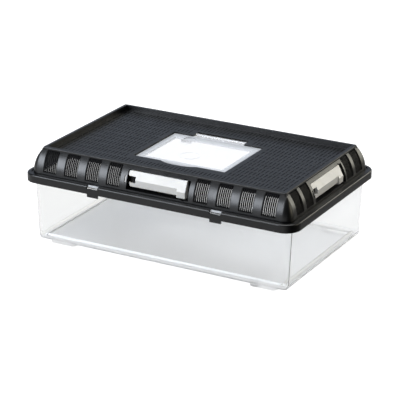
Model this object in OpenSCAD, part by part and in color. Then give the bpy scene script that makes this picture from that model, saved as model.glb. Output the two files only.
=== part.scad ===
// Pet keeper: a clear tub under a domed, slotted lid with a clear trap door and four swing latches.
// Millimetres. Z is up, the foot pads stand on z = 0, X runs along the long side, front is -Y.

/* [Overall] */
// Length over the lid's flange
length = 420; // [390:1:520]
// Width over the lid's flange
width = 268; // [256:1:360]
// Plan radius of the corners of the flange, the dome and the tub
corner_r = 22; // [22:0.5:30]

/* [Tub] */
// Height of the moulded foot pads
foot_h = 4; // [2:0.5:8]
// Length of a foot pad
foot_l = 40; // [20:1:60]
// Width of a foot pad
foot_w = 12; // [8:1:20]
// Distance from a long side's middle to the middle of a foot pad
foot_x = 157; // [100:1:160]
// Distance from the flange's outer face in to the foot pads
foot_inset = 19; // [18:0.5:30]
// Height of the tub from the underside of its floor to the top of its rim
tub_h = 97.4; // [70:0.5:160]
// Wall thickness of the tub
tub_wall = 2.2; // [1.6:0.1:3]
// Floor thickness of the tub
tub_floor = 2.5; // [1.8:0.1:4]
// Lean of the tub's walls from upright, in degrees
tub_draft = 2.35; // [0.5:0.05:3]
// Outer radius where the tub's walls meet its floor
tub_edge_r = 5.8; // [4:0.1:6]
// Distance from the flange's outer face in to the tub's wall, at the rim
tub_inset = 11.2; // [9:0.1:12]
// Thickness of the tub's outward rim
rim_t = 2.2; // [1.5:0.1:3]
// Depth of the lip turned down at the rim's edge
rim_lip = 3; // [1:0.5:5]
// Gap between the rim's edge and the inside of the flange
rim_gap = 1; // [0.5:0.1:2]

/* [Lid] */
// Wall thickness of the lid
lid_wall = 2.4; // [2:0.1:3]
// Height of the flange's skirt
flange_h = 11.7; // [9:0.1:18]
// Rounding of the flange's upper edge
flange_round = 2; // [0.5:0.1:2]
// Distance from the flange's outer face in to the foot of the dome
dome_foot = 8.9; // [8.2:0.1:12]
// Width of the gutter at the foot of the dome
gutter_w = 3.4; // [1:0.1:5]
// Depth of the gutter
gutter_d = 1.2; // [0.5:0.1:1.6]
// Height of the ridge's top above the flange
ridge_h = 35.4; // [34:0.1:38]
// Distance from the flange's outer face in to the ridge
ridge_inset = 22; // [21:0.1:22]
// Width of the ridge's top
ridge_w = 5; // [4:0.1:6]
// Height of the ridge's foot above the flange, where the dome's arc ends
ridge_foot_h = 32.4; // [30:0.1:33]
// Plan radius of the ridge's outer corners
ridge_corner_r = 2.5; // [1:0.5:6]
// Rounding of the ridge's outer edge
ridge_round = 1; // [0.3:0.1:1.5]
// Depth of the deck below the ridge's top
deck_drop = 7.2; // [3:0.1:9]
// Thickness of the deck
deck_t = 2.5; // [2:0.1:4]

/* [Side vents] */
// Slots in one group
vent_slots = 7; // [3:1:9]
// Distance between neighbouring slots
vent_pitch = 2.87; // [2.4:0.01:3]
// Width of a slot
vent_slot_w = 1.05; // [0.8:0.05:1.9]
// Solid strip between an end slot and the band beside the group
vent_margin = 1; // [0.3:0.05:1.5]
// Depth of the groups below the bands
vent_sink = 1; // [0.4:0.1:1.2]
// Height of the groups' lower edge above the flange
vent_low = 3.4; // [2:0.1:8]
// Distance from the ridge's top down to the groups' upper edge
vent_high = 2.7; // [2:0.1:8]
// Rounding of the bands' long edges
band_round = 0.9; // [0.2:0.1:1]
// Distance from a long side's middle to its first group
vent_first_long = 67.5; // [65:0.5:90]
// Distance between groups on a long side
vent_step_long = 33.8; // [26:0.1:50]
// Distance from a short side's middle to its first group
vent_first_short = 64; // [63:0.5:80]
// Distance between groups on a short side
vent_step_short = 29; // [24:0.1:40]

/* [Deck slots] */
// Width of a deck slot
deck_slot_w = 1.3; // [1:0.1:3.5]
// Length of a deck slot
deck_slot_l = 12.6; // [6:0.1:14]
// Distance between slots along the lid
deck_pitch_x = 5.74; // [5:0.01:9]
// Distance between rows of slots across the lid
deck_pitch_y = 16.3; // [15.5:0.1:24]
// Solid margin kept round the deck and the trap door
deck_margin = 1.8; // [1:0.1:6]

/* [Trap door] */
// Length of the door's opening
door_l = 143; // [110:1:150]
// Width of the door's opening, without the hinge
door_w = 116; // [90:1:118]
// How far the opening's middle lies in front of the lid's middle
door_shift = 4; // [0:0.5:6]
// Gap all round the door
door_gap = 0.6; // [0.4:0.05:1]
// Thickness of the door
door_t = 2.3; // [1.8:0.1:3]
// Depth of the door's face below the deck
door_drop = 1.8; // [1.5:0.1:4]
// Width of the ledge that the door lies on
door_ledge = 5; // [3:0.5:8]
// Thickness of the ledge and of the well round the door
well_t = 2; // [1.5:0.1:3]
// Width of the door's raised border
border_w = 10.5; // [8:0.5:14]
// Width of the border beside the hinge
border_back = 15; // [12:0.5:20]
// Depth of the pane below the border
pane_drop = 1.1; // [0.5:0.1:1.4]
// Radius of the plain raised ring on the pane
ring_r = 14.5; // [8:0.5:18]
// How far the ring lies in front of the pane's middle
ring_shift = 13; // [0:1:15]
// How far the ring lies to the left of the pane's middle
ring_x = 6; // [0:1:20]
// Width of the ring
ring_w = 1.2; // [0.8:0.1:3]
// Height of the ring
ring_h = 0.5; // [0.3:0.1:1]
// Radius of the thumb dimple at the back of the pane
dimple_r = 10.5; // [6:0.5:14]
// Distance of the thumb dimple from the door's middle
dimple_x = 38; // [20:1:42]
// Depth of the finger scoop in front of the door
scoop_w = 8; // [5:0.5:10]
// Length of the finger scoop
scoop_l = 57; // [40:1:70]

/* [Trap door hinge] */
// Length of the hinge barrel
barrel_l = 80; // [50:1:90]
// Radius of the hinge barrel
barrel_r = 3; // [2.6:0.1:3.2]
// Distance from the opening's back edge to the hinge pin
barrel_back = 8.5; // [8:0.1:10]
// Gap round the barrel and at its ends
barrel_gap = 0.6; // [0.3:0.05:1.5]
// Thickness of the lugs that hold the hinge pin
lug_t = 4.5; // [3:0.5:8]
// Diameter of the hinge pin
door_pin_d = 2.6; // [2:0.1:3]

/* [Latches] */
// Length of a latch from its hinge pin to its free end
latch_l = 83.5; // [70:0.5:84]
// Distance from a side's middle to the hinge pin
latch_pin_x = 40; // [36:0.5:41]
// Height of a latch's lower edge above the flange
latch_low = 6.8; // [5:0.1:9]
// Height of a latch's upper edge above the flange
latch_high = 27.5; // [26.5:0.1:28]
// Height of the crease in a latch's face above the flange
latch_crease = 16.2; // [14:0.1:18]
// Distance from the flange's outer face in to a latch's lower face
latch_face = 13; // [12.5:0.1:14]
// How far the upper face leans in from the crease to the upper edge
latch_lean = 5.8; // [5:0.1:6.2]
// Distance from a latch's lower face in to its hinge pin
latch_pin_in = 5.6; // [5.2:0.1:5.8]
// Distance from the hinge pin in to a latch's back
latch_back = 2.8; // [2.4:0.1:3.2]
// Wall thickness of a latch
latch_wall = 1.7; // [1.2:0.1:2.2]
// Diameter of a latch's hinge pin
latch_pin_d = 2.6; // [2:0.1:3]
// Plastic left below and in front of a latch's pin
pin_cover = 0.8; // [0.5:0.1:1.2]
// Rounding of a latch's corners at the hinge end, seen from the front
latch_corner_r = 2.6; // [1:0.1:4]
// Height of the notch round the lid's knuckle, measured from its lower end
notch_h = 9.6; // [7:0.1:10]
// Height of the notch's lower end above the flange
notch_low = 11.1; // [10:0.1:12.5]
// Length of the finger block at a latch's free end
block_l = 13; // [9:0.5:18]
// How far the finger block stands out from the lower face
block_out = 1.8; // [1:0.1:2]
// How far the finger block hangs below the latch
block_hang = 3.2; // [1:0.1:3.4]
// Chamfer along the finger block's lower edge
block_edge = 1; // [0.4:0.1:1.6]

/* [Latch pockets] */
// Gap between a latch and its pocket
pocket_gap = 1; // [0.6:0.1:1.6]
// Finger room beyond a latch's free end
pocket_end = 6; // [4:0.5:7]
// Thickness of the pocket's walls
pocket_wall = 1.6; // [1.2:0.1:2]
// Radius of the lid's knuckle
knuckle_r = 3.6; // [3:0.1:3.8]
// Width of the opening in the knuckle's face
knuckle_mouth = 2; // [1.2:0.1:2.2]
// Gap at the knuckle's ends and round the catch
play = 0.4; // [0.3:0.05:0.6]
// Width of the sight slot beside the pocket
sight_w = 2.2; // [1.5:0.1:2.6]

/* [Snap hooks] */
// Distance from a long side's middle to a hook
hook_x = 95; // [70:1:120]
// Width of a hook
hook_w = 17; // [10:0.5:24]
// How far a hook hangs below the flange
hook_drop = 4.6; // [3:0.1:8]
// Thickness of a hook
hook_t = 2.3; // [1.6:0.1:2.4]
// Depth of the window above a hook, in from the flange's outer face
window_in = 6; // [4:0.1:6.6]
// Height of the window down the flange's outer face
window_h = 4.3; // [3:0.1:5]

/* [Hidden] */
$fn = 72;
eps = 1;                // overshoot of cutting shapes
fit = 0.06;             // radial clearance of a turning pin

// levels
floor_z = foot_h;
rim_z = foot_h + tub_h;
flange_z = rim_z + lid_wall;
skirt_z = flange_z - flange_h;
ridge_z = flange_z + ridge_h;
deck_z = ridge_z - deck_drop;
vent_z0 = flange_z + vent_low;
vent_z1 = ridge_z - vent_high;

// places measured in from the flange's outer face
ridge_in = ridge_inset + ridge_w;
tub_base = tub_inset + tub_h * tan(tub_draft);
ridge_ring_r = max(corner_r, ridge_inset + ridge_corner_r);

// the dome's arc: its ends, its radius and its centre; it stands upright at its foot
arc_z = flange_z - gutter_d;
ridge_foot_z = flange_z + ridge_foot_h;
arc_w = ridge_inset - dome_foot;
arc_h = ridge_foot_z - arc_z;
dome_r = (arc_w * arc_w + arc_h * arc_h) / (2 * arc_w);
arc_u = dome_foot + dome_r;

// side vents
group_w = (vent_slots - 1) * vent_pitch + vent_slot_w + 2 * vent_margin;

// trap door, in the lid's own plan
door_y0 = -door_shift - door_w / 2;
door_y1 = -door_shift + door_w / 2;
door_z = deck_z - door_drop;
ledge_z = door_z - door_t;
hinge_y = door_y1 + barrel_back;
hinge_z = deck_z - barrel_r;
notch_y1 = hinge_y + barrel_r + 2 * barrel_gap + lid_wall;
notch_x = barrel_l / 2 + barrel_gap;
well_z = min(ledge_z, hinge_z - barrel_r - barrel_gap) - well_t;
scoop_r = (scoop_l * scoop_l / 4 + scoop_w * scoop_w) / (2 * scoop_w);

// latches, measured along the side, in from the flange and up
latch_z0 = flange_z + latch_low;
latch_z1 = flange_z + latch_high;
crease_z = flange_z + latch_crease;
pin_u = latch_face + latch_pin_in;
back_u = pin_u + latch_back;
pocket_u = pin_u + latch_pin_in + play;
notch_z0 = flange_z + notch_low;
notch_z1 = notch_z0 + notch_h;
latch_end = latch_l - latch_pin_x;
block_z = latch_z0 - block_hang;
lean_slope = latch_lean / (latch_z1 - crease_z);
pocket_x0 = -latch_pin_x - latch_pin_in - pocket_gap;
pocket_x1 = latch_end + pocket_end;
pocket_z0 = block_z - pocket_gap;
pocket_z1 = latch_z1 + pocket_gap;
pin_z0 = latch_z0 + pin_cover;
pin_z1 = crease_z + (pin_u - latch_pin_d / 2 - pin_cover - latch_face) / lean_slope;
catch_x = latch_end - block_l / 2;
catch_t = 2;
catch_h = 6;
catch_z = (notch_z0 + notch_z1) / 2;

// straight length of side k between corners of plan radius r; side 0 is the front and 1 the right
function side_l(k, r) = (k % 2 == 0 ? length : width) - 2 * r;

// stands on the middle of side k: x along it, y in from the flange's outer face
module on_side(k) {
    rotate([0, 0, 90 * k])
        translate([0, -(k % 2 == 0 ? width : length) / 2, 0])
            children();
}

// draws a section of (distance in, height) along x
module along(l) {
    translate([-l / 2, 0, 0])
        rotate([90, 0, 90])
            linear_extrude(l)
                children();
}

// turns the same section round the corner after side k, as far in as the corner's centre
module round_corner(k, r) {
    on_side(k)
        translate([side_l(k, r) / 2, r, 0])
            rotate([0, 0, -90])
                rotate_extrude(angle = 90)
                    intersection() {
                        translate([r, 0])
                            mirror([1, 0])
                                children();
                        area([0, -eps], [r + eps, ridge_z + eps]);
                    }
}

// runs a section right round the keeper, with corners of plan radius r
module ring(r) {
    for (k = [0:3]) {
        on_side(k)
            along(side_l(k, r))
                children();
        round_corner(k, r)
            children();
    }
}

// a box between two corner points
module block(a, b) {
    translate(a)
        cube(b - a);
}

// a flat shape's area between two corner points
module area(a, b) {
    translate(a)
        square(b - a);
}

// ---- tub

// the section inside a leaning wall that starts at (u0, z0), up to z1
module wall_section(u0, z0, r, z1) {
    cu = u0 + r * (1 - sin(tub_draft)) / cos(tub_draft);
    cz = z0 + r;
    foot = [cu - r * cos(tub_draft), cz - r * sin(tub_draft)];
    translate([cu, cz])
        circle(r);
    polygon([foot, [u0 - (z1 - z0) * tan(tub_draft), z1], [corner_r, z1],
             [corner_r, z0], [cu, z0], [cu, cz]]);
}

module tub_section() {
    edge = lid_wall + rim_gap;
    difference() {
        union() {
            wall_section(tub_base, floor_z, tub_edge_r, rim_z);
            area([edge, rim_z - rim_t], [tub_inset + tub_wall, rim_z]);
            area([edge, rim_z - rim_t - rim_lip], [edge + tub_wall, rim_z]);
        }
        wall_section(tub_base - tub_floor * tan(tub_draft) + tub_wall / cos(tub_draft),
                     floor_z + tub_floor, tub_edge_r - tub_wall / 2, rim_z + eps);
    }
}

module foot_pad() {
    linear_extrude(foot_h + tub_floor / 2)
        union() {
            for (x = [-1, 1])
                translate([x * (foot_l - foot_w) / 2, foot_w / 2])
                    circle(foot_w / 2);
            area([-(foot_l - foot_w) / 2, 0], [(foot_l - foot_w) / 2, foot_w]);
        }
}

module tub() {
    color([0.9, 0.93, 0.95, 0.45]) {
        ring(corner_r)
            tub_section();
        block([-side_l(0, corner_r) / 2, -side_l(1, corner_r) / 2, floor_z],
              [side_l(0, corner_r) / 2, side_l(1, corner_r) / 2, floor_z + tub_floor]);
        for (k = [0, 2])
            on_side(k) {
                for (x = [-foot_x, foot_x])
                    translate([x, foot_inset, 0])
                        foot_pad();
                // lugs on the rim that stand in the windows over the lid's hooks
                for (x = [-hook_x, hook_x])
                    block([x - hook_w / 2 + play, lid_wall + rim_gap, rim_z - rim_t],
                          [x + hook_w / 2 - play, window_in - play, flange_z - play]);
            }
    }
}

// ---- lid

module flange_section() {
    difference() {
        union() {
            area([0, skirt_z], [lid_wall, flange_z - flange_round]);
            area([flange_round, rim_z], [dome_foot + lid_wall, flange_z]);
            intersection() {
                translate([flange_round, flange_z - flange_round])
                    circle(flange_round);
                area([0, flange_z - flange_round], [flange_round, flange_z]);
            }
        }
        area([dome_foot - gutter_w, flange_z - gutter_d], [dome_foot, flange_z + eps]);
    }
}

// the dome's arc between two heights, with its outer face sunk by the first value
module dome_section(sink, z0, z1) {
    intersection() {
        translate([arc_u, arc_z])
            difference() {
                circle(dome_r - sink);
                circle(dome_r - lid_wall);
            }
        area([dome_foot - eps, z0], [ridge_inset + lid_wall, z1]);
    }
}

module ridge_section() {
    area([ridge_inset, ridge_foot_z - lid_wall], [ridge_in, ridge_z - ridge_round]);
    area([ridge_inset + ridge_round, ridge_foot_z - lid_wall], [ridge_in, ridge_z]);
    translate([ridge_inset + ridge_round, ridge_z - ridge_round])
        circle(ridge_round);
    area([ridge_in - lid_wall, deck_z - deck_t], [ridge_in, ridge_z]);
}

module side_section() {
    dome_section(0, rim_z, vent_z0);
    dome_section(vent_sink, vent_z0 - eps, ridge_foot_z);
}

// a raised band between groups of slots, its long edges rounded
module band(x0, x1) {
    a0 = asin((vent_z0 - eps - arc_z) / dome_r);
    a1 = asin((vent_z1 + eps - arc_z) / dome_r);
    translate([0, arc_u, arc_z])
        rotate([90, 0, -90])
            rotate([0, 0, a0])
                rotate_extrude(angle = a1 - a0)
                    union() {
                        area([dome_r - lid_wall, -x1], [dome_r - band_round, -x0]);
                        area([dome_r - lid_wall, -x1 + band_round], [dome_r, -x0 - band_round]);
                        for (x = [-x1 + band_round, -x0 - band_round])
                            translate([dome_r - band_round, x])
                                circle(band_round);
                    }
}

function vent_first(k) = k % 2 == 0 ? vent_first_long : vent_first_short;
function vent_step(k) = k % 2 == 0 ? vent_step_long : vent_step_short;
function vent_count(k) = 1 + floor((side_l(k, corner_r) / 2 - vent_first(k) - group_w / 2) / vent_step(k));
function vent_x(k, i) = vent_first(k) + i * vent_step(k);

module bands(k) {
    n = vent_count(k);
    band(-vent_x(k, 0) + group_w / 2, vent_x(k, 0) - group_w / 2);
    for (i = [0:n - 1])
        for (s = [0, 1])
            mirror([s, 0, 0])
                if (i < n - 1)
                    band(vent_x(k, i) + group_w / 2, vent_x(k, i + 1) - group_w / 2);
                else
                    band(vent_x(k, i) + group_w / 2, side_l(k, corner_r) / 2 + band_round);
}

module vent_cuts(k) {
    for (i = [0:vent_count(k) - 1])
        for (s = [-1, 1])
            for (j = [0:vent_slots - 1]) {
                x = s * vent_x(k, i) + (j - (vent_slots - 1) / 2) * vent_pitch;
                block([x - vent_slot_w / 2, dome_foot - gutter_w, vent_z0 + vent_margin],
                      [x + vent_slot_w / 2, ridge_in - lid_wall - play, vent_z1 - vent_margin]);
            }
}

// the solid that a latch pocket is cut from, inside the dome's outer face
module pocket_body() {
    x0 = pocket_x0 - pocket_wall;
    x1 = pocket_x1 + pocket_wall;
    translate([(x0 + x1) / 2, 0, 0])
        along(x1 - x0)
            intersection() {
                translate([arc_u, arc_z])
                    circle(dome_r);
                area([dome_foot - eps, flange_z - gutter_d], [pocket_u + lid_wall, vent_z1]);
            }
}

module pocket_cuts() {
    slit = catch_t / 2 + play;
    block([pocket_x0, 0, pocket_z0], [pocket_x1, pocket_u, pocket_z1]);
    // coring marks over and under the free end
    block([latch_end - 2 * catch_t, 0, pocket_z0 - pocket_gap],
          [latch_end, back_u, pocket_z1 + pocket_gap]);
    // keeper for the latch's catch
    block([catch_x - slit, back_u, catch_z - catch_h / 2 - play],
          [catch_x + slit + catch_t, pocket_u + lid_wall + eps, catch_z + catch_h / 2 + play]);
    // sight slot beside the hinge
    block([pocket_x0 - pocket_wall - sight_w, 0, notch_z0], [pocket_x0 - pocket_wall, back_u, notch_z1]);
}

// the lid's open knuckle round a latch's pin
module knuckle() {
    h = notch_h - 2 * play;
    translate([-latch_pin_x, pin_u, notch_z0 + play])
        difference() {
            union() {
                cylinder(r = knuckle_r, h = h);
                block([-knuckle_r, 0, 0], [knuckle_r, pocket_u - pin_u + lid_wall / 2, h]);
            }
            translate([0, 0, -eps])
                cylinder(r = latch_pin_d / 2 + fit, h = h + 2 * eps);
            block([-knuckle_mouth / 2, -knuckle_r - eps, -eps], [knuckle_mouth / 2, 0, h + eps]);
        }
}

module hook() {
    block([-hook_w / 2, lid_wall + rim_gap - play - hook_t, skirt_z - hook_drop],
          [hook_w / 2, lid_wall + rim_gap - play, skirt_z + lid_wall]);
}

module window() {
    block([-hook_w / 2, -eps, flange_z - window_h], [hook_w / 2, window_in, flange_z + eps]);
}

// true where a deck slot at (x, y) would meet the trap door's well
function near_door(x, y) =
    (abs(x) < door_l / 2 + well_t + deck_margin + deck_slot_w / 2
        && y > door_y0 - well_t - deck_margin - deck_slot_l / 2
        && y < door_y1 + well_t + deck_margin + deck_slot_l / 2)
    || (abs(x) < notch_x + lug_t + deck_margin + deck_slot_w / 2
        && y > 0 && y < notch_y1 + well_t + deck_margin + deck_slot_l / 2)
    || (abs(x) < scoop_l / 2 + deck_margin + deck_slot_w / 2
        && y < 0 && y > door_y0 - scoop_w - well_t - deck_margin - deck_slot_l / 2);

module deck() {
    half_x = length / 2 - ridge_in;
    half_y = width / 2 - ridge_in;
    nx = floor((half_x - deck_margin - deck_slot_w / 2) / deck_pitch_x);
    ny = floor((half_y - deck_margin - deck_slot_l / 2) / deck_pitch_y);
    difference() {
        block([-half_x - lid_wall / 2, -half_y - lid_wall / 2, deck_z - deck_t],
              [half_x + lid_wall / 2, half_y + lid_wall / 2, deck_z]);
        for (i = [-nx:nx])
            for (j = [-ny:ny])
                if (!near_door(i * deck_pitch_x, j * deck_pitch_y))
                    translate([i * deck_pitch_x, j * deck_pitch_y, 0])
                        block([-deck_slot_w / 2, -deck_slot_l / 2, deck_z - deck_t - eps],
                              [deck_slot_w / 2, deck_slot_l / 2, deck_z + eps]);
    }
}

// the round-fronted recess for a finger, grown by g
module scoop_plan(g) {
    intersection() {
        translate([0, door_y0 - scoop_w + scoop_r])
            circle(scoop_r + g);
        area([-scoop_l / 2 - g, door_y0 - scoop_w - g], [scoop_l / 2 + g, door_y0 + door_gap]);
    }
}

module door_well() {
    block([-door_l / 2 - well_t, door_y0 - well_t, well_z], [door_l / 2 + well_t, door_y1 + well_t, deck_z]);
    block([-notch_x - lug_t, door_y1 - well_t, well_z], [notch_x + lug_t, notch_y1 + well_t, deck_z]);
    translate([0, 0, well_z])
        linear_extrude(deck_z - well_z)
            scoop_plan(well_t);
}

module door_cuts() {
    block([-door_l / 2, door_y0, ledge_z], [door_l / 2, door_y1, deck_z + eps]);
    block([-door_l / 2 + door_ledge, door_y0 + door_ledge, well_z - eps],
          [door_l / 2 - door_ledge, door_y1 - door_ledge, deck_z + eps]);
    block([-notch_x, door_y1 - eps, well_z + well_t], [notch_x, notch_y1, deck_z + eps]);
    translate([0, 0, ledge_z])
        linear_extrude(deck_z - ledge_z + eps)
            scoop_plan(0);
    translate([0, hinge_y, hinge_z])
        rotate([0, 90, 0])
            cylinder(d = door_pin_d, h = 2 * (notch_x + lug_t + eps), center = true);
}

module lid() {
    color([0.16, 0.17, 0.19]) {
        difference() {
            union() {
                ring(corner_r)
                    flange_section();
                ring(ridge_ring_r)
                    ridge_section();
                for (k = [0:3]) {
                    round_corner(k, corner_r)
                        dome_section(0, rim_z, ridge_foot_z);
                    on_side(k) {
                        along(side_l(k, corner_r))
                            side_section();
                        bands(k);
                        pocket_body();
                    }
                }
                for (k = [0, 2])
                    on_side(k)
                        for (x = [-hook_x, hook_x])
                            translate([x, 0, 0])
                                hook();
                deck();
                door_well();
            }
            for (k = [0:3])
                on_side(k) {
                    vent_cuts(k);
                    pocket_cuts();
                }
            for (k = [0, 2])
                on_side(k)
                    for (x = [-hook_x, hook_x])
                        translate([x, 0, 0])
                            window();
            door_cuts();
        }
        for (k = [0:3])
            on_side(k)
                knuckle();
    }
}

// ---- trap door

// a slab of the door whose four sides lean in by the first value from bottom to top
module leaning_slab(lean, x, y0, y1, z0, z1) {
    intersection() {
        rotate([90, 0, 0])
            linear_extrude(4 * door_w, center = true)
                polygon([[-x, z0], [x, z0], [x - lean, z1], [lean - x, z1]]);
        rotate([90, 0, 90])
            linear_extrude(2 * door_l, center = true)
                polygon([[y0, z0], [y1, z0], [y1 - lean, z1], [y0 + lean, z1]]);
    }
}

module trap_door() {
    half = door_l / 2 - door_gap;
    front = door_y0 + door_gap;
    back = door_y1 - door_gap;
    pane_x = half - border_w;
    pane_y0 = front + border_w;
    pane_y1 = back - border_back;
    pane_z = door_z - pane_drop;
    bevel = door_t / 3;
    color([0.93, 0.95, 0.97, 0.5])
        difference() {
            union() {
                block([-half, front, ledge_z], [half, back, door_z - bevel]);
                leaning_slab(bevel, half, front, back, door_z - bevel, door_z);
                // web and barrel of the hinge
                block([-barrel_l / 2, back - door_t, ledge_z], [barrel_l / 2, hinge_y, door_z]);
                translate([0, hinge_y, hinge_z])
                    rotate([0, 90, 0])
                        cylinder(r = barrel_r, h = barrel_l, center = true);
            }
            difference() {
                mirror([0, 0, 1])
                    leaning_slab(pane_drop, pane_x + pane_drop, pane_y0 - pane_drop, pane_y1 + pane_drop,
                                 -door_z, -pane_z);
                translate([-ring_x, (pane_y0 + pane_y1) / 2 - ring_shift, 0])
                    difference() {
                        cylinder(r = ring_r, h = pane_z + ring_h);
                        cylinder(r = ring_r - ring_w, h = pane_z + ring_h + eps);
                    }
            }
            translate([-dimple_x, pane_y1, door_z - door_t / 2 - ring_h])
                cylinder(r = dimple_r, h = door_t);
            translate([0, hinge_y, hinge_z])
                rotate([0, 90, 0])
                    cylinder(r = door_pin_d / 2 + fit, h = barrel_l + 2 * eps, center = true);
        }
}

module trap_door_pin() {
    color([0.75, 0.76, 0.78])
        translate([0, hinge_y, hinge_z])
            rotate([0, 90, 0])
                cylinder(d = door_pin_d, h = 2 * (notch_x + lug_t), center = true);
}

// ---- latches

// the latch's section between its face and its back, shrunk by w on the face and both edges
module latch_section(w) {
    face = latch_face + w;
    polygon([[face, latch_z0 + w], [face, crease_z], [face + latch_lean, latch_z1],
             [back_u + (w > 0 ? eps : 0), latch_z1], [back_u + (w > 0 ? eps : 0), latch_z0 + w]]);
}

module block_section() {
    face = latch_face - block_out;
    polygon([[face + block_edge, block_z], [face, block_z + block_edge],
             [face, crease_z - block_out / lean_slope],
             [latch_face + latch_lean, latch_z1], [back_u, latch_z1], [back_u, block_z]]);
}

// the latch seen from the front, its hinge end rounded
module latch_outline() {
    x0 = -latch_pin_x - latch_pin_in;
    r = latch_corner_r;
    for (z = [latch_z0 + r, latch_z1 - r])
        translate([x0 + r, z])
            circle(r);
    area([x0, latch_z0 + r], [latch_end, latch_z1 - r]);
    area([x0 + r, block_z], [latch_end, latch_z1]);
}

// the latch before it is hollowed and notched
module latch_blank() {
    translate([(latch_end - latch_pin_x) / 2, 0, 0])
        along(latch_l)
            latch_section(0);
    translate([latch_end - block_l / 2, 0, 0])
        along(block_l)
            block_section();
    // round end about the pin
    intersection() {
        translate([-latch_pin_x, pin_u, latch_z0])
            cylinder(r = latch_pin_in, h = latch_z1 - latch_z0);
        translate([-latch_pin_x, 0, 0])
            along(2 * latch_pin_in)
                latch_section(0);
    }
    // catch
    block([catch_x - catch_t / 2, back_u - latch_wall, catch_z - catch_h / 2],
          [catch_x + catch_t / 2, pocket_u + lid_wall / 2, catch_z + catch_h / 2]);
}

module latch(k) {
    on_side(k)
        color([0.89, 0.88, 0.84])
            difference() {
                intersection() {
                    latch_blank();
                    translate([0, pocket_u + lid_wall, 0])
                        rotate([90, 0, 0])
                            linear_extrude(pocket_u + lid_wall)
                                latch_outline();
                }
                // hollow back
                translate([(latch_end - block_l - latch_pin_x + knuckle_r) / 2 + latch_wall, 0, 0])
                    along(latch_l - block_l - knuckle_r - 4 * latch_wall)
                        intersection() {
                            latch_section(latch_wall);
                            area([0, 0], [back_u + eps, latch_z1 - latch_wall]);
                        }
                // notch round the knuckle
                block([-latch_pin_x - latch_pin_in - eps, 0, notch_z0],
                      [-latch_pin_x + knuckle_r + latch_pin_d, back_u + eps, notch_z1]);
                // pin hole
                translate([-latch_pin_x, pin_u, pin_z0])
                    cylinder(d = latch_pin_d, h = pin_z1 - pin_z0);
            }
}

module latch_pin(k) {
    on_side(k)
        color([0.72, 0.71, 0.68])
            translate([-latch_pin_x, pin_u, pin_z0])
                cylinder(d = latch_pin_d, h = pin_z1 - pin_z0);
}

tub();
lid();
trap_door();
trap_door_pin();
latch(0);  // latch_front
latch(1);  // latch_right
latch(2);  // latch_back
latch(3);  // latch_left
latch_pin(0);  // latch_pin_front
latch_pin(1);  // latch_pin_right
latch_pin(2);  // latch_pin_back
latch_pin(3);  // latch_pin_left
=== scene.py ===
# Plastic pet keeper: clear tub, black slotted lid, clear trap door and cream swing latches.
# The solids come packed from the CAD model. This script gives them their finishes, light and camera.
import bpy
import math
from mathutils import Matrix, Vector


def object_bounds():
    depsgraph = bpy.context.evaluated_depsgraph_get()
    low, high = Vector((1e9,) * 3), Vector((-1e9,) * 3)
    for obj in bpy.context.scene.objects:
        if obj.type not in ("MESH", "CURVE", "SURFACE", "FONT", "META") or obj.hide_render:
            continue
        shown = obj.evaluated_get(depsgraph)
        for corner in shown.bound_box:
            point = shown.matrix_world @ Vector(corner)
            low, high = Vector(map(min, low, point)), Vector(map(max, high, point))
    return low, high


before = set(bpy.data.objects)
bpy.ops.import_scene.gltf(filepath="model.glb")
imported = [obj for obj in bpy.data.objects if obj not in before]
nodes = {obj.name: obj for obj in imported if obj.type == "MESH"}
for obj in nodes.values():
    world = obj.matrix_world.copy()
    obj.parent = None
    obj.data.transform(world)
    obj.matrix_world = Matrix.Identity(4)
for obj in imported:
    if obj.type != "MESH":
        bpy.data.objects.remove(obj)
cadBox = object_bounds()
sides = ["front", "right", "back", "left"]
halfLength, halfWidth, top = cadBox[1]
print("keeper loaded")

cameraSet = {
    "yaw": 28.538,            # degrees round from the front, towards the right end
    "pitch": 20.746,          # degrees above level
    "roll": 0.35,
    "distance": 2.5933,
    "aim": (0, 0, 0.074),
    "slide": (-0.000106, -0.014625),   # sideways and upwards, in the picture's own directions
    "lens": 166.36,
    "sensor": 36,
    "farEnd": 50,
}


def placeCamera(s):
    yaw, pitch, roll = (math.radians(s[k]) for k in ("yaw", "pitch", "roll"))
    back = Vector((math.sin(yaw) * math.cos(pitch), -math.cos(yaw) * math.cos(pitch), math.sin(pitch)))
    right = Vector((math.cos(yaw), math.sin(yaw), 0))
    up = back.cross(right)
    right, up = (right * math.cos(roll) + up * math.sin(roll),
                 up * math.cos(roll) - right * math.sin(roll))
    data = bpy.data.cameras.new("camera")
    data.lens = s["lens"]
    data.sensor_width = s["sensor"]
    data.clip_end = s["farEnd"]
    cam = bpy.data.objects.new("camera", data)
    place = Vector(s["aim"]) + back * s["distance"] + right * s["slide"][0] + up * s["slide"][1]
    turn = Matrix((right, up, back)).transposed().to_4x4()
    cam.matrix_world = Matrix.Translation(place) @ turn
    bpy.context.scene.collection.objects.link(cam)
    bpy.context.scene.camera = cam


placeCamera(cameraSet)
print("camera placed")


# small helpers that add shader nodes

def newMaterial(name):
    mat = bpy.data.materials.new(name)
    mat.use_nodes = True
    tree = mat.node_tree
    shader = tree.nodes["Principled BSDF"]
    return mat, tree, shader


def addNode(tree, kind, inputs=None, **settings):
    n = tree.nodes.new(kind)
    for key, value in settings.items():
        setattr(n, key, value)
    for key, value in (inputs or {}).items():
        if hasattr(value, "is_output"):
            tree.links.new(value, n.inputs[key])
        else:
            n.inputs[key].default_value = value
    return n


def calc(tree, operation, a, b=0.0):
    return addNode(tree, "ShaderNodeMath", {0: a, 1: b}, operation=operation).outputs[0]


def blend(tree, factor, a, b):
    # b where the factor is 1
    return addNode(tree, "ShaderNodeMix", {0: factor, 2: a, 3: b}, data_type="FLOAT").outputs[0]


def split(tree, point):
    part = addNode(tree, "ShaderNodeSeparateXYZ", {0: point}).outputs
    return part["X"], part["Y"], part["Z"]


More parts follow.
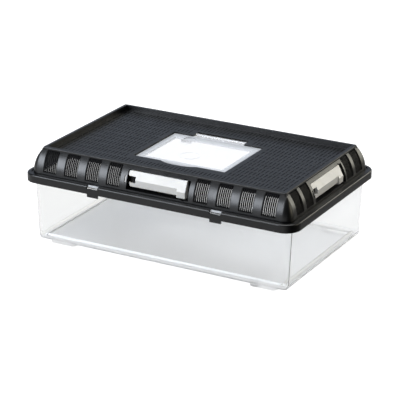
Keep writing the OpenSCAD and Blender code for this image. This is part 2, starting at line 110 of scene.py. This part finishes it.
def between(tree, value, ends):
    above = calc(tree, "GREATER_THAN", value, ends[0])
    below = calc(tree, "LESS_THAN", value, ends[1])
    return calc(tree, "MULTIPLY", above, below)


def insideBox(tree, point, box):
    # 1 inside the box, 0 outside it
    inside = 1.0
    for value, ends in zip(split(tree, point), (box["x"], box["y"], box["z"])):
        inside = calc(tree, "MULTIPLY", inside, between(tree, value, ends))
    return inside


def objectPoint(tree):
    return addNode(tree, "ShaderNodeTexCoord").outputs["Object"]


def noise(tree, point, scale, detail=3, stretch=(1, 1, 1)):
    mapped = addNode(tree, "ShaderNodeMapping", {"Vector": point, "Scale": stretch})
    n = addNode(tree, "ShaderNodeTexNoise", {"Vector": mapped.outputs[0], "Scale": scale, "Detail": detail})
    return n.outputs["Fac"]


def remap(tree, value, low, high, start=0.3, end=0.7):
    # low at the start and high at the end; the usual start and end are those of noise
    n = addNode(tree, "ShaderNodeMapRange", {"Value": value, "From Min": start, "From Max": end,
                                             "To Min": low, "To Max": high})
    return n.outputs[0]


def tint(tree, factor, dark, light):
    n = addNode(tree, "ShaderNodeMix", {"Factor": factor}, data_type="RGBA")
    n.inputs[6].default_value = (*dark, 1)
    n.inputs[7].default_value = (*light, 1)
    return n.outputs[2]


def bump(tree, height, distance, strength):
    n = addNode(tree, "ShaderNodeBump", {"Height": height, "Distance": distance, "Strength": strength})
    return n.outputs[0]


blackPlastic = {
    "dark": (0.0005, 0.0006, 0.0008),
    "light": (0.0010, 0.0012, 0.0016),
    "cloudScale": 14,
    "roughScale": 60,
    "roughLow": 0.29,
    "roughHigh": 0.37,
    "specular": 0.5,
    "grainScale": 1800,       # spark-eroded grain, about half a millimetre
    "grainDepth": 0.00004,
    "grainStrength": 0.18,
    "groupRough": 0.6,        # the bars between the side slots are matt
    "groupSpecular": 0.1,
    # the groups of side slots, in metres: first group, step and half width along a side
    "groupsLong": (0.0675, 0.0338, 0.0099),
    "groupsShort": (0.064, 0.029, 0.0099),
    "groupsIn": 0.027,        # they lie less than this far in from the lid's outer faces
    "groupsDown": (0.032, 0.0027),   # and between these depths below its top
}


def slotGroups(tree, point, s):
    # 1 on the groups of side slots, 0 elsewhere
    x, y, z = split(tree, point)
    x = calc(tree, "ABSOLUTE", x)
    y = calc(tree, "ABSOLUTE", y)
    endX = halfLength - s["groupsIn"]
    endY = halfWidth - s["groupsIn"]
    found = 0.0
    for along, across, groups, end, edge in ((x, y, s["groupsLong"], endX, endY),
                                             (y, x, s["groupsShort"], endY, endX)):
        first, step, reach = groups
        off = calc(tree, "PINGPONG", calc(tree, "SUBTRACT", along, first), step / 2)
        here = calc(tree, "LESS_THAN", off, reach)
        here = calc(tree, "MULTIPLY", here, calc(tree, "GREATER_THAN", across, edge))
        here = calc(tree, "MULTIPLY", here, between(tree, along, (first - reach, end)))
        found = calc(tree, "MAXIMUM", found, here)
    low, high = s["groupsDown"]
    return calc(tree, "MULTIPLY", found, between(tree, z, (top - low, top - high)))


def makeBlackPlastic(s):
    mat, tree, shader = newMaterial("blackPlastic")
    point = objectPoint(tree)
    cloudy = noise(tree, point, s["cloudScale"], 4)
    tree.links.new(tint(tree, cloudy, s["dark"], s["light"]), shader.inputs["Base Color"])
    rough = remap(tree, noise(tree, point, s["roughScale"], 5), s["roughLow"], s["roughHigh"])
    groups = slotGroups(tree, point, s)
    tree.links.new(blend(tree, groups, rough, s["groupRough"]), shader.inputs["Roughness"])
    specular = blend(tree, groups, s["specular"], s["groupSpecular"])
    tree.links.new(specular, shader.inputs["Specular IOR Level"])
    grain = bump(tree, noise(tree, point, s["grainScale"], 2), s["grainDepth"], s["grainStrength"])
    tree.links.new(grain, shader.inputs["Normal"])
    return mat


clearPlastic = {
    "tub": {"colour": (0.985, 0.99, 0.99), "through": 1.0, "specular": 0.3},
    "door": {"colour": (0.95, 0.95, 0.96), "through": 0.82, "specular": 0.4},
    "ior": 1.5,
    "roughScale": 25,
    "roughLow": 0.01,
    "roughHigh": 0.05,
    "milkyBelow": 0.0105,     # the tub's moulded floor is faintly milky
    "milkyThrough": 0.9,
    "milkyRough": 0.3,
    "waveScale": 9,           # slow waviness of moulded walls
    "waveDepth": 0.0006,
    "waveStrength": 0.1,
    "bodyColour": (0.5, 0.52, 0.56),
    "bodyDensity": 6,
    "frostColour": (0.55, 0.57, 0.60),
    "frostThrough": 0.45,     # share of the light that still passes where the surface is frosted
    "frostRough": 0.4,
}

# where the clear parts are frosted, as a box in metres, and the clear pane inside it
frosted = {
    "tub": {"box": {"x": (-1, 1), "y": (-1, 1), "z": (0.1015, 1)}},
    "door": {"box": {"x": (-1, 1), "y": (-1, 0.0545), "z": (0, 1)},
             "pane": {"x": (-0.0604, 0.0604), "y": (-0.0509, 0.0384), "z": (0, 1)}},
}


def makeClearPlastic(name, part, s, places):
    mat, tree, shader = newMaterial(name)
    point = objectPoint(tree)
    frost = insideBox(tree, point, places["box"])
    if "pane" in places:
        frost = calc(tree, "SUBTRACT", frost, insideBox(tree, point, places["pane"]))
    tree.links.new(tint(tree, frost, part["colour"], s["frostColour"]), shader.inputs["Base Color"])
    milky = calc(tree, "LESS_THAN", split(tree, point)[2], s["milkyBelow"])
    through = blend(tree, milky, part["through"], s["milkyThrough"])
    tree.links.new(blend(tree, frost, through, s["frostThrough"]), shader.inputs["Transmission Weight"])
    shader.inputs["IOR"].default_value = s["ior"]
    shader.inputs["Specular IOR Level"].default_value = part["specular"]
    rough = remap(tree, noise(tree, point, s["roughScale"], 4), s["roughLow"], s["roughHigh"])
    rough = blend(tree, milky, rough, s["milkyRough"])
    tree.links.new(blend(tree, frost, rough, s["frostRough"]), shader.inputs["Roughness"])
    wave = bump(tree, noise(tree, point, s["waveScale"], 1), s["waveDepth"], s["waveStrength"])
    tree.links.new(wave, shader.inputs["Normal"])
    body = addNode(tree, "ShaderNodeVolumeAbsorption",
                   {"Color": (*s["bodyColour"], 1), "Density": s["bodyDensity"]})
    tree.links.new(body.outputs[0], tree.nodes["Material Output"].inputs["Volume"])
    return mat


creamPlastic = {
    "dark": (0.415, 0.410, 0.390),
    "light": (0.455, 0.452, 0.435),
    "cloudScale": 30,
    "roughScale": 90,
    "roughLow": 0.3,
    "roughHigh": 0.42,
    "grainScale": 1500,
    "grainDepth": 0.00003,
    "grainStrength": 0.4,
    "softShare": 0.15,        # light that spreads under the surface, and how far in metres
    "softReach": (0.003, 0.0025, 0.0015),
}


def makeCreamPlastic(s):
    mat, tree, shader = newMaterial("creamPlastic")
    point = objectPoint(tree)
    cloudy = noise(tree, point, s["cloudScale"], 3)
    tree.links.new(tint(tree, cloudy, s["dark"], s["light"]), shader.inputs["Base Color"])
    rough = remap(tree, noise(tree, point, s["roughScale"], 4), s["roughLow"], s["roughHigh"])
    tree.links.new(rough, shader.inputs["Roughness"])
    grain = bump(tree, noise(tree, point, s["grainScale"], 2), s["grainDepth"], s["grainStrength"])
    tree.links.new(grain, shader.inputs["Normal"])
    shader.inputs["Subsurface Weight"].default_value = s["softShare"]
    shader.inputs["Subsurface Radius"].default_value = s["softReach"]
    return mat


wireSteel = {
    "dark": (0.42, 0.41, 0.39),
    "light": (0.58, 0.57, 0.55),
    "drawnScale": 900,
    "drawnStretch": (1, 1, 0.05),
    "roughLow": 0.22,
    "roughHigh": 0.4,
}


def makeWireSteel(s):
    mat, tree, shader = newMaterial("wireSteel")
    drawn = noise(tree, objectPoint(tree), s["drawnScale"], 3, s["drawnStretch"])
    tree.links.new(tint(tree, drawn, s["dark"], s["light"]), shader.inputs["Base Color"])
    tree.links.new(remap(tree, drawn, s["roughLow"], s["roughHigh"]), shader.inputs["Roughness"])
    shader.inputs["Metallic"].default_value = 1
    return mat


def dress(node, mat):
    mesh = nodes[node].data
    mesh.materials.clear()
    mesh.materials.append(mat)


black = makeBlackPlastic(blackPlastic)
clearTub = makeClearPlastic("clearTub", clearPlastic["tub"], clearPlastic, frosted["tub"])
clearDoor = makeClearPlastic("clearDoor", clearPlastic["door"], clearPlastic, frosted["door"])
cream = makeCreamPlastic(creamPlastic)
steel = makeWireSteel(wireSteel)

dress("tub", clearTub)
dress("lid", black)
dress("trap_door", clearDoor)
dress("trap_door_pin", steel)
for side in sides:
    dress("latch_" + side, cream)
    dress("latch_pin_" + side, steel)
for clear in ("tub", "trap_door"):      # clear walls let the light through to what stands behind them
    nodes[clear].visible_shadow = False
    nodes[clear].visible_diffuse = False
print("finishes on")


paleFloor = {
    "size": 14,
    "colour": (0.42, 0.42, 0.425),
    "rough": 0.9,
    "specular": 0.1,
    "glow": 0.75,             # added for camera rays, so the floor goes white
    # painted reflection glow, seen only in reflections: in front and to the left, behind, and close by the
    # right end
    "left": (0.7, 0.01),
    "leftFade": (-0.28, 0.1),
    "back": (0.0, 0.2),
    "backFade": (0.0, 0.15),
    "right": (0.75, 0.0),
    "rightFrom": 0.15,
    "rightFade": (0.25, 0.30),
    # glow seen through clear walls: full beside the keeper, then a painted shadow under it at the left,
    # right and front
    "through": 1.0,
    "shade": (0.74, 1.3),
    "shadeFade": (0.0, 0.1),
    "shadeFront": 0.98,
    "frontFade": (-0.1, -0.03),
    "shadeHalf": (0.194, 0.118),
    "shadeEdge": (-0.006, 0.012),
}


# painted shadow: the keeper's shade laid on the floor by place, which only rays through clear walls see
def paintedShadowGlow(tree, x, y, s):
    outX = calc(tree, "SUBTRACT", calc(tree, "ABSOLUTE", x), s["shadeHalf"][0])
    outY = calc(tree, "SUBTRACT", calc(tree, "ABSOLUTE", y), s["shadeHalf"][1])
    beside = remap(tree, calc(tree, "MAXIMUM", outX, outY), 0.0, 1.0, *s["shadeEdge"])
    under = remap(tree, x, *s["shade"], *s["shadeFade"])
    under = blend(tree, remap(tree, y, 1.0, 0.0, *s["frontFade"]), under, s["shadeFront"])
    return blend(tree, beside, under, s["through"])


# painted reflections: a glow laid on the floor by place, which only reflected rays see
def paintedReflectionGlow(tree, x, y, s):
    left = remap(tree, calc(tree, "ADD", x, y), *s["left"], *s["leftFade"])
    back = remap(tree, y, *s["back"], *s["backFade"])
    right = remap(tree, x, *s["right"], *s["rightFade"])
    right = calc(tree, "MULTIPLY", right, calc(tree, "GREATER_THAN", x, s["rightFrom"]))
    return calc(tree, "MAXIMUM", calc(tree, "MAXIMUM", left, back), right)


def makeFloor(s):
    half = s["size"] / 2
    mesh = bpy.data.meshes.new("floor")
    corners = [(-half, -half, 0), (half, -half, 0), (half, half, 0), (-half, half, 0)]
    mesh.from_pydata(corners, [], [(0, 1, 2, 3)])
    floor = bpy.data.objects.new("floor", mesh)
    bpy.context.scene.collection.objects.link(floor)
    mat, tree, shader = newMaterial("paleFloor")
    shader.inputs["Roughness"].default_value = s["rough"]
    shader.inputs["Specular IOR Level"].default_value = s["specular"]
    path = addNode(tree, "ShaderNodeLightPath").outputs
    # in reflections and through clear walls the floor's own colour is black, so only the painted glow shows
    # there
    other = calc(tree, "MAXIMUM", path["Is Glossy Ray"], path["Is Transmission Ray"])
    tree.links.new(tint(tree, other, s["colour"], (0, 0, 0)), shader.inputs["Base Color"])
    shader.inputs["Emission Color"].default_value = (1, 1, 1, 1)
    x, y, z = split(tree, objectPoint(tree))
    glow = blend(tree, path["Is Camera Ray"], 0.0, s["glow"])
    # reflected rays see the painted reflection glow
    glow = blend(tree, path["Is Glossy Ray"], glow, paintedReflectionGlow(tree, x, y, s))
    # rays through clear walls see the painted shadow glow
    glow = blend(tree, path["Is Transmission Ray"], glow, paintedShadowGlow(tree, x, y, s))
    tree.links.new(glow, shader.inputs["Emission Strength"])
    mesh.materials.append(mat)


makeFloor(paleFloor)
print("floor made")


softSky = {
    "seen": 1.0,              # backdrop as the camera sees it
    "through": 0.96,          # backdrop through clear walls
    "diffuse": 0.35,
    "dim": 0.03,              # what the front and the ceiling give in reflections
    "back": 0.55,             # white sweep behind, in reflections
    "sweepLeft": (0.84, 0.93, 1.09),
    "sweepRight": (1.0, 0.98, 0.86),
    "warmFade": (-0.3, 0.4),  # from the left colour to the right one
    "sweepFrom": (-0.25, 0.35),      # where the sweep fades in, front to back
    "sweepTo": (0.32, 0.62),         # where it fades out, upwards
}


def makeSky(s):
    world = bpy.data.worlds.new("sky")
    world.use_nodes = True
    tree = world.node_tree
    path = addNode(tree, "ShaderNodeLightPath").outputs
    way = addNode(tree, "ShaderNodeTexCoord").outputs["Generated"]
    x, y, z = split(tree, way)
    fadeIn = remap(tree, y, 0.0, 1.0, *s["sweepFrom"])
    fadeOut = remap(tree, z, 1.0, 0.0, *s["sweepTo"])
    sweep = calc(tree, "MULTIPLY", fadeIn, fadeOut)
    level = blend(tree, path["Is Glossy Ray"], s["diffuse"], blend(tree, sweep, s["dim"], s["back"]))
    level = blend(tree, path["Is Transmission Ray"], level, s["through"])
    level = blend(tree, path["Is Camera Ray"], level, s["seen"])
    tree.links.new(level, tree.nodes["Background"].inputs["Strength"])
    hue = tint(tree, remap(tree, x, 0.0, 1.0, *s["warmFade"]), s["sweepLeft"], s["sweepRight"])
    mixed = addNode(tree, "ShaderNodeMix", {0: path["Is Glossy Ray"], 6: (1, 1, 1, 1), 7: hue},
                    data_type="RGBA")
    tree.links.new(mixed.outputs[2], tree.nodes["Background"].inputs["Color"])
    bpy.context.scene.world = world


makeSky(softSky)


lamps = {
    "frontLeft": {"at": (-1.4, -2.05, 1.0), "aim": (0, 0, 0.12), "size": (1.6, 1.25), "power": 70,
                  "colour": (0.90, 0.95, 1.03)},
    "overhead": {"at": (0.15, -0.15, 2.1), "aim": (0.1, -0.1, 0), "size": (2.2, 1.6), "power": 55,
                 "colour": (1.0, 1.0, 1.0)},
    "right": {"at": (1.8, 0.4, 0.55), "aim": (0, 0, 0.12), "size": (0.7, 0.7), "power": 4.5,
              "colour": (1.0, 0.90, 0.66)},
    "backRight": {"at": (1.1, 1.85, 0.5), "aim": (0.2, 0, 0.12), "size": (1.0, 0.75), "power": 10,
                  "colour": (1.0, 0.97, 0.84)},
}


def makeLamp(name, s):
    data = bpy.data.lights.new(name, "AREA")
    data.shape = "RECTANGLE"
    data.size, data.size_y = s["size"]
    data.energy = s["power"]
    data.color = s["colour"]
    lamp = bpy.data.objects.new(name, data)
    lamp.location = s["at"]
    away = Vector(s["at"]) - Vector(s["aim"])
    lamp.rotation_euler = away.to_track_quat("Z", "Y").to_euler()
    lamp.visible_transmission = False      # not seen through the clear walls
    bpy.context.scene.collection.objects.link(lamp)


for lampName, lampSet in lamps.items():
    makeLamp(lampName, lampSet)
bpy.context.scene.view_settings.view_transform = "Standard"
print("lights made")
